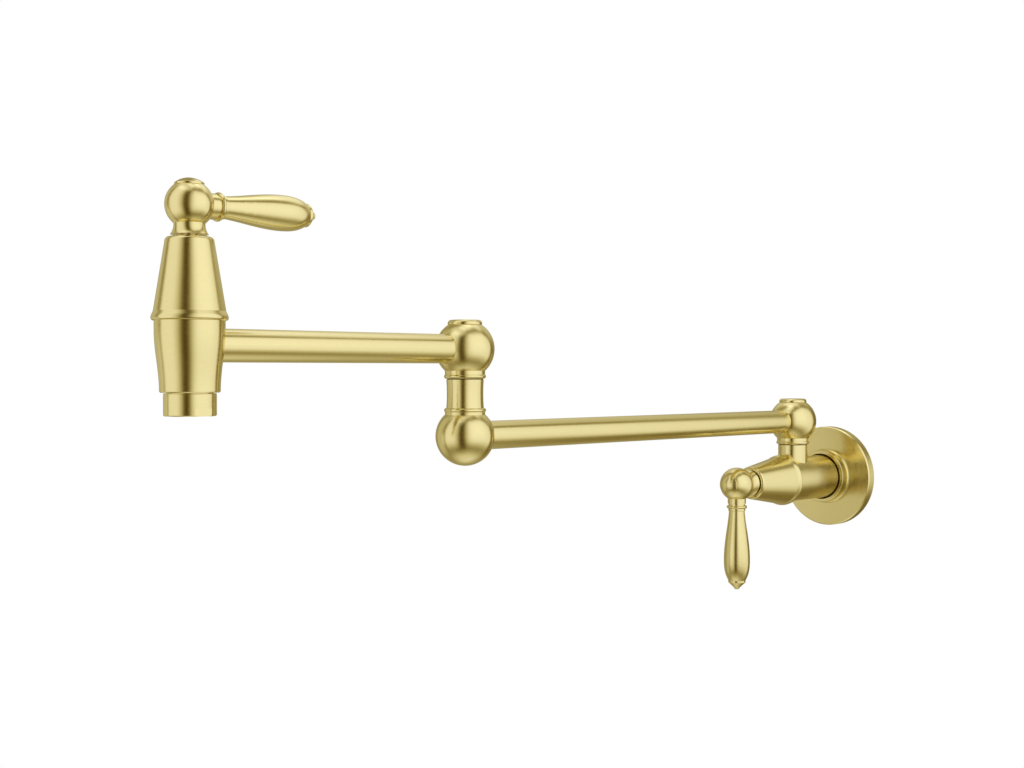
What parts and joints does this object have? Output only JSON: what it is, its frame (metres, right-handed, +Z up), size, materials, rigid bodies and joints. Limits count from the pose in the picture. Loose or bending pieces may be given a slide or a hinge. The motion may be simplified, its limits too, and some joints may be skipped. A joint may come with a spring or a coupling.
{
  "type": "wall mounted pot filler",
  "caption": "Wall mounted pot filler with folding arms on ball swivels, a lever valve at the wall and another above the spout, in brushed gold.",
  "frame": {"origin": "where the wall valve's axis meets the wall plane, at the centre of the wall screws", "axes": "+Z up, +Y into the wall, -Y out into the room along the straightened arms, +X to the right of someone facing the wall"},
  "size_m": [0.0812, 0.6315, 0.2677],
  "materials": {
    "brushed_gold": "brushed brass-gold, satin, fine circumferential grain",
    "plain_brass": "turned, uncoated",
    "bracket_steel": "zinc plated",
    "stainless": "plain",
    "seal_rubber": "matt black",
    "washer_plastic": "dark acetal",
    "aerator_plastic": "pale moulded",
    "disc_ceramic": "lapped"
  },
  "bodies": {
    "root": {"wall_bracket": "bracket_steel", "bracket_set_screws": "stainless", "wall_gasket": "seal_rubber", "wall_flange": "brushed_gold", "flange_o_ring": "seal_rubber", "valve_body": "brushed_gold", "wall_bonnet_cover": "brushed_gold", "wall_cartridge_housing": "plain_brass", "wall_cartridge_nut": "plain_brass", "wall_seat_seal": "seal_rubber", "wall_fixed_disc": "disc_ceramic", "base_swivel_post": "plain_brass", "base_swivel_seals": "seal_rubber", "base_friction_washer": "washer_plastic", "base_nut_washer": "plain_brass", "base_retaining_nut": "plain_brass"},
    "wall_lever": {"wall_lever_hub": "brushed_gold", "wall_lever_cap": "brushed_gold", "wall_lever_handle": "brushed_gold", "wall_handle_screw": "stainless", "wall_cartridge_stem": "plain_brass", "wall_stem_o_ring": "seal_rubber", "wall_moving_disc": "disc_ceramic"},
    "lower_arm": {"base_ball": "brushed_gold", "base_cap": "brushed_gold", "lower_arm_tube": "brushed_gold", "elbow_lower_ball": "brushed_gold", "elbow_neck": "brushed_gold", "elbow_swivel_post": "plain_brass", "elbow_swivel_seals": "seal_rubber", "elbow_friction_washer": "washer_plastic", "elbow_nut_washer": "plain_brass", "elbow_retaining_nut": "plain_brass"},
    "upper_arm": {"elbow_upper_ball": "brushed_gold", "elbow_cap": "brushed_gold", "upper_arm_tube": "brushed_gold", "spout_body": "brushed_gold", "spout_bonnet_cover": "brushed_gold", "spout_cartridge_housing": "plain_brass", "spout_cartridge_nut": "plain_brass", "spout_seat_seal": "seal_rubber", "spout_fixed_disc": "disc_ceramic", "aerator_housing": "brushed_gold", "aerator_insert": "aerator_plastic", "aerator_gasket": "seal_rubber"},
    "spout_lever": {"spout_lever_hub": "brushed_gold", "spout_lever_cap": "brushed_gold", "spout_lever_handle": "brushed_gold", "spout_handle_screw": "stainless", "spout_cartridge_stem": "plain_brass", "spout_stem_o_ring": "seal_rubber", "spout_moving_disc": "disc_ceramic"}
  },
  "joints": [
    {"name": "base_swivel", "type": "hinge", "parent": "root", "child": "lower_arm", "pos_m": [0, -0.0556, 0.0464], "axis": [0, 0, 1], "range_deg": [-90, 90]},
    {"name": "elbow_swivel", "type": "hinge", "parent": "lower_arm", "child": "upper_arm", "pos_m": [0, -0.4156, 0.10051], "axis": [0, 0, 1], "continuous": true},
    {"name": "wall_lever", "type": "hinge", "parent": "root", "child": "wall_lever", "pos_m": [0, -0.1314, 0], "axis": [0, -1, 0], "range_deg": [0, 90]},
    {"name": "spout_lever", "type": "hinge", "parent": "upper_arm", "child": "spout_lever", "pos_m": [0, -0.6116, 0.17371], "axis": [0, 0, 1], "range_deg": [0, 90]}
  ]
}
